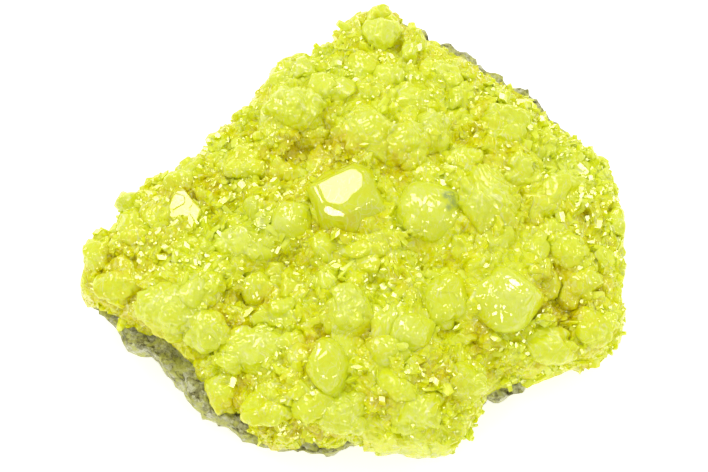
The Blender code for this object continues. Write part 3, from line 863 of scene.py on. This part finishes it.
def sulfurMaterial(kind):
    look = sulfurLook[kind]
    maker = Maker("sulfur_" + kind)
    rise, tint = maker.attribute("rise"), maker.attribute("tint")
    regions = maker.grain(14.0, 2.0, 0.5)
    clouds = maker.grain(3.6, 4.0, 0.6, 0.4)
    veins = maker.grain(0.8, 4.0, 0.7, 0.8)
    chips, specks = maker.cells(0.9), maker.cells(0.38)
    # painted shade and painted light from the height over the surroundings, mixed with random tone from the noises,
    # cells and tint
    depth = rise * 0.6 + 0.16 + look["pale"] + (regions - 0.5) * 0.6 + (clouds - 0.5) * 0.6
    depth = depth + (tint - 0.5) * 0.14 + ((veins - 0.5) * 0.6 + (chips - 0.5) * 0.26 + (specks - 0.5) * 0.2) * 0.7
    color = maker.ramp(depth, sulfurLook["shadeAndToneStops"])
    milk = maker.window(maker.grain(1.7, 4.0, 0.75, 1.0), 0.55, 0.68)
    # painted highlights: thin pale lines along cell edges, standing in for edges that catch the light
    paintedEdgeHighlights = maker.edges(1.5, 0.09) * maker.window(maker.grain(1.9, 3.0), 0.48, 0.62)
    color = maker.mix(milk * 0.4, color, sulfurLook["pale"])
    color = maker.mix(paintedEdgeHighlights * 0.5, color, sulfurLook["pale"])
    turned = maker.window(maker.grain(4.0, 1.0), 0.47, 0.53)
    wisps = maker.fibers(0.5, 40) * turned + maker.fibers(0.5, 125) * (1 - turned)
    color = maker.mix((1 - maker.window(wisps, 0.34, 0.46)) * 0.4, color, sulfurLook["wispDark"])
    color = maker.mix(maker.window(wisps, 0.58, 0.68) * 0.6, color, sulfurLook["wispPale"])
    if kind == "gems":
        fleck = maker.attribute("fleck") * maker.window(maker.grain(0.5, 4.0, 0.7), 0.36, 0.5)
        color = maker.mix(fleck * 0.8, color, sulfurLook["fleck"])
    low, high = look["roughness"]
    rough = low + (high - low) * maker.window(maker.grain(1.6, 4.0, 0.6), 0.35, 0.7)
    height = maker.facets(1.6) * 0.7 + maker.facets(1.0, 35) * 1.3
    if look["busy"] > 0.3:
        height = height + maker.facets(0.5) * 0.3 * look["busy"]
    normal = maker.node("ShaderNodeBump", {}, {
        "Height": height, "Strength": look["bump"], "Distance": sulfurLook["bumpDepth"],
    }, output="Normal")
    maker.feed(maker.shader, {
        "Base Color": color, "Roughness": rough, "Normal": normal, "Metallic": 0.0, "IOR": sulfurLook["ior"],
        "Transmission Weight": look["transmission"], "Subsurface Weight": sulfurLook["subsurface"],
        "Subsurface Radius": sulfurLook["scatterRadius"], "Subsurface Scale": sulfurLook["scatterScale"],
        "Specular Tint": sulfurLook["specularTint"],
    })
    if look["transmission"]:
        absorption = maker.node("ShaderNodeVolumeAbsorption", {}, {
            "Color": sulfurLook["absorption"]["color"], "Density": sulfurLook["absorption"]["density"],
        })
        maker.tree.links.new(absorption.socket, maker.output.inputs["Volume"])
    return maker.material


rockFinish = {
    "tones": [
        (0.36, (0.05, 0.045, 0.01, 1)), (0.43, (0.30, 0.28, 0.11, 1)), (0.51, (0.60, 0.59, 0.29, 1)),
        (0.60, (0.93, 0.93, 0.66, 1)),
    ],
    "dust": (0.74, 0.76, 0.14, 1),
    "bump": 0.9,
    "bumpDepth": 0.0004,
    "ior": 1.5,
}


def rockMaterial():
    maker = Maker("grey_matrix")
    patches, specks = maker.grain(3.0, 5.0, 0.65), maker.grain(0.45, 4.0, 0.75)
    chips = maker.cells(0.7)
    tone = patches * 0.45 + specks * 0.4 + chips * 0.15
    color = maker.ramp(tone, rockFinish["tones"])
    dust = maker.window(maker.grain(1.3, 5.0, 0.7) + maker.grain(5.0) * 0.4, 0.64, 0.8)
    color = maker.mix(dust * 0.8, color, rockFinish["dust"])
    height = maker.facets(1.2) + maker.facets(0.5) * 0.5 + specks * 1.2
    normal = maker.node("ShaderNodeBump", {}, {
        "Height": height, "Strength": rockFinish["bump"], "Distance": rockFinish["bumpDepth"],
    }, output="Normal")
    maker.feed(maker.shader, {
        "Base Color": color, "Roughness": 0.6 + 0.3 * specks, "Normal": normal, "Metallic": 0.0,
        "IOR": rockFinish["ior"],
    })
    return maker.material


def makeFloor():
    bm = bmesh.new()
    bmesh.ops.create_grid(bm, x_segments=1, y_segments=1, size=studio["floorSize"])
    mesh = bpy.data.meshes.new("floor")
    bm.to_mesh(mesh)
    bm.free()
    floor = bpy.data.objects.new("floor", mesh)
    bpy.context.scene.collection.objects.link(floor)
    maker = Maker("white_floor")
    maker.feed(maker.shader, {
        "Base Color": (0.92, 0.92, 0.92, 1), "Roughness": 0.9, "Specular IOR Level": 0.1,
        "Emission Color": (1, 1, 1, 1), "Emission Strength": studio["floorGlow"],
    })
    mesh.materials.append(maker.material)


def makeStudio():
    target = Vector(studio["target"]) * mm
    camera = bpy.data.objects.new("camera", bpy.data.cameras.new("camera"))
    bpy.context.scene.collection.objects.link(camera)
    camera.data.lens = studio["lens"]
    camera.data.clip_start = 0.01
    camera.location = cameraPlace
    camera.rotation_euler = (math.pi / 2 - viewAngle, 0, 0)
    bpy.context.scene.camera = camera
    for setting in studio["lights"]:
        lamp = bpy.data.objects.new(setting["name"], bpy.data.lights.new(setting["name"], "AREA"))
        bpy.context.scene.collection.objects.link(lamp)
        lamp.location = setting["place"]
        lamp.rotation_euler = (target - lamp.location).to_track_quat("-Z", "Y").to_euler()
        lamp.data.shape = "SQUARE"
        lamp.data.size = setting["size"]
        lamp.data.energy = setting["energy"]
    world = bpy.data.worlds.new("studio")
    world.use_nodes = True
    background = world.node_tree.nodes["Background"]
    background.inputs["Color"].default_value = (1, 1, 1, 1)
    background.inputs["Strength"].default_value = studio["world"]
    bpy.context.scene.world = world
    bpy.context.scene.view_settings.view_transform = "Standard"


# Tips that would pass the CAD model's box are drawn in a little.
boxEase = {"band": 1.5, "margin": 0.02}


def keepInBox(piece):
    points = np.zeros(len(piece.data.vertices) * 3)
    piece.data.vertices.foreach_get("co", points)
    points = points.reshape(-1, 3)
    band, margin = boxEase["band"] * mm, boxEase["margin"] * mm
    for axis in range(3):
        high, low = cadBox[1][axis] - margin, cadBox[0][axis] + margin
        over = np.maximum(points[:, axis] - (high - band), 0)
        points[:, axis] -= over - band * (1 - np.exp(-over / band))
        if axis < 2:
            under = np.maximum((low + band) - points[:, axis], 0)
            points[:, axis] += under - band * (1 - np.exp(-under / band))
    piece.data.vertices.foreach_set("co", points.ravel())
    piece.data.update()


for leftover in ("Cube", "Light", "Camera"):
    if leftover in bpy.data.objects:
        bpy.data.objects.remove(bpy.data.objects[leftover])
makeStudio()
makeFloor()
rock = makeRock()
crust = makeCrust()
makeLargeCrystals()
makeCrustCrystals()
makeSprinkle(crust)
writePaintedShadeAndFlecks()
print("colouring")
rock.data.materials.append(rockMaterial())
kinds = ("crust", "crystals", "gems", "clear", "grains")
materials = {kind: sulfurMaterial(kind) for kind in kinds}
for piece in sulfurPieces:
    kind = "crust" if piece is crust else "grains" if "Grains" in piece.name else "crystals"
    if piece.name.startswith("crystal"):
        kind = "clear" if piece.name in ("crystalCenter", "crystalLeftPlate") else "gems"
    piece.data.materials.append(materials[kind])
for piece in [rock] + sulfurPieces:
    keepInBox(piece)

print("faces in all:", sum(len(piece.data.polygons) for piece in [rock] + sulfurPieces))
